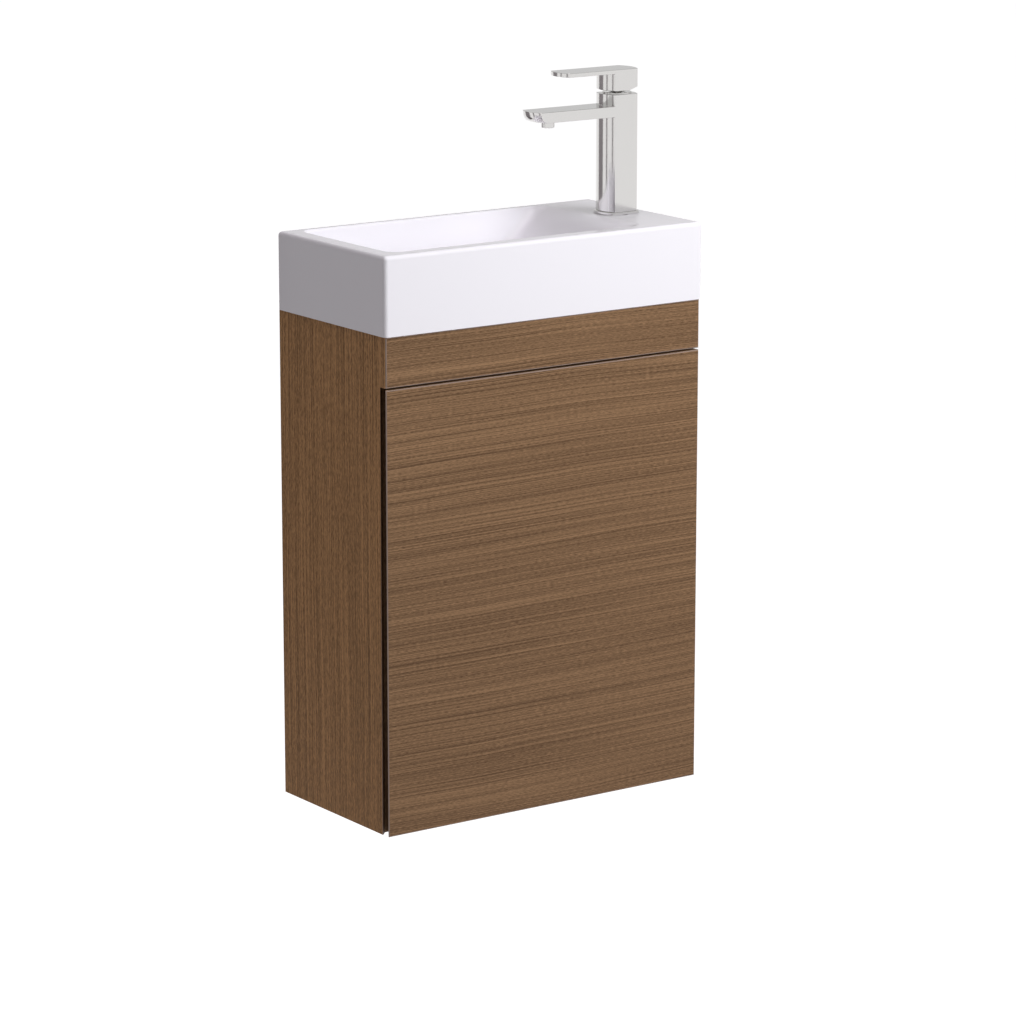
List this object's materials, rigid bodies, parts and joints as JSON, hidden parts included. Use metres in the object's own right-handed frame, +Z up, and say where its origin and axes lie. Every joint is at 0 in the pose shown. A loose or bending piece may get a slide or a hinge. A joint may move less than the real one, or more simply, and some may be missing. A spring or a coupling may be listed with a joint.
{
  "type": "wall-hung vanity unit",
  "caption": "Narrow wall-hung vanity: wood-faced cabinet with one mitred-edge door, ceramic basin with a tap deck on the right, single-lever mixer and bottle trap.",
  "frame": {"origin": "on the wall plane, midway between the two wall-fixing holes of the hanging rail", "axes": "+Z up, +Y into the wall, -Y out of the door's face, +X to the right seen from the front"},
  "size_m": [0.404, 0.205, 0.7675],
  "materials": {
    "front_veneer": "matte wood-grain foil, grain along X",
    "side_veneer": "matte wood-grain foil, grain along Z",
    "white_board": "white melamine-faced board",
    "plated_steel": "nickel-plated steel",
    "glazed_ceramic": "glossy white glaze",
    "chrome": "polished chrome plate",
    "white_plastic": "white injection-moulded plastic",
    "black_rubber": "matte black rubber"
  },
  "bodies": {
    "cabinet": {"side_panel_left": "side_veneer", "side_panel_right": "side_veneer", "bottom_panel": "side_veneer", "fascia": "front_veneer", "front_stretcher": "white_board", "hanging_rail": "white_board", "lower_back_rail": "white_board", "back_panel": "white_board", "connecting_cams": "plated_steel", "shelf": "white_board", "shelf_pins": "plated_steel", "hinge_arm_upper": "plated_steel", "hinge_arm_lower": "plated_steel", "hinge_plate_upper": "plated_steel", "hinge_plate_lower": "plated_steel", "plate_screws": "plated_steel", "basin": "glazed_ceramic", "waste_body": "chrome", "waste_washer": "black_rubber", "waste_nut": "chrome", "trap_coupling_nut": "white_plastic", "trap_inlet_tube": "white_plastic", "trap_body": "white_plastic", "trap_bottom_cup": "white_plastic", "trap_outlet_nut": "white_plastic", "outlet_pipe": "white_plastic", "tap_base_seal": "black_rubber", "tap_base_ring": "chrome", "tap_body": "chrome", "tap_aerator": "chrome", "tap_cartridge": "white_plastic", "tap_collar": "chrome", "tap_stud": "plated_steel", "tap_horseshoe_washer": "plated_steel", "tap_fixing_nut": "plated_steel"},
    "door": {"door_panel": "front_veneer", "door_buffers": "white_plastic", "hinge_cup_upper": "plated_steel", "hinge_cup_lower": "plated_steel", "cup_screws": "plated_steel"},
    "outer_link_upper": {"hinge_outer_link_upper": "plated_steel"},
    "outer_link_lower": {"hinge_outer_link_lower": "plated_steel"},
    "inner_link_upper": {"hinge_inner_link_upper": "plated_steel"},
    "inner_link_lower": {"hinge_inner_link_lower": "plated_steel"},
    "plug": {"waste_plug": "chrome"},
    "rotor": {"tap_rotor": "white_plastic"},
    "lever": {"tap_lever": "chrome", "tap_spindle": "plated_steel", "tap_grub_screw": "plated_steel"}
  },
  "joints": [
    {"name": "outer_link_upper_turn", "type": "hinge", "parent": "cabinet", "child": "outer_link_upper", "pos_m": [0.1683, -0.1707, -0.09], "axis": [0, 0, -1], "range_deg": [0, 34.5]},
    {"name": "door_swing", "type": "hinge", "parent": "outer_link_upper", "child": "door", "pos_m": [0.1895, -0.1896, -0.09], "axis": [0, 0, 1], "range_deg": [0, 129.4]},
    {"name": "outer_link_lower_turn", "type": "hinge", "parent": "cabinet", "child": "outer_link_lower", "pos_m": [0.1683, -0.1707, -0.403], "axis": [0, 0, -1], "range_deg": [0, 34.5]},
    {"name": "inner_link_upper_turn", "type": "hinge", "parent": "cabinet", "child": "inner_link_upper", "pos_m": [0.1565, -0.1827, -0.09], "axis": [0, 0, -1], "range_deg": [0, 31.4]},
    {"name": "inner_link_lower_turn", "type": "hinge", "parent": "cabinet", "child": "inner_link_lower", "pos_m": [0.1565, -0.1827, -0.403], "axis": [0, 0, -1], "range_deg": [0, 31.4]},
    {"name": "handle_turn", "type": "hinge", "parent": "cabinet", "child": "rotor", "pos_m": [0.1635, -0.1025, 0.25], "axis": [0, 0, 1], "range_deg": [-45, 45]},
    {"name": "lever_lift", "type": "hinge", "parent": "rotor", "child": "lever", "pos_m": [0.1635, -0.1025, 0.25], "axis": [0, 1, 0], "range_deg": [0, 18]},
    {"name": "plug_click", "type": "slide", "parent": "cabinet", "child": "plug", "axis": [0, 0, 1], "range_m": [0, 0.008]}
  ],
  "couplings": [
    {"joint": "outer_link_upper_turn", "follows": "door_swing", "ratio": 0.266},
    {"joint": "outer_link_lower_turn", "follows": "door_swing", "ratio": 0.266},
    {"joint": "inner_link_upper_turn", "follows": "door_swing", "ratio": 0.2422},
    {"joint": "inner_link_lower_turn", "follows": "door_swing", "ratio": 0.2422}
  ]
}
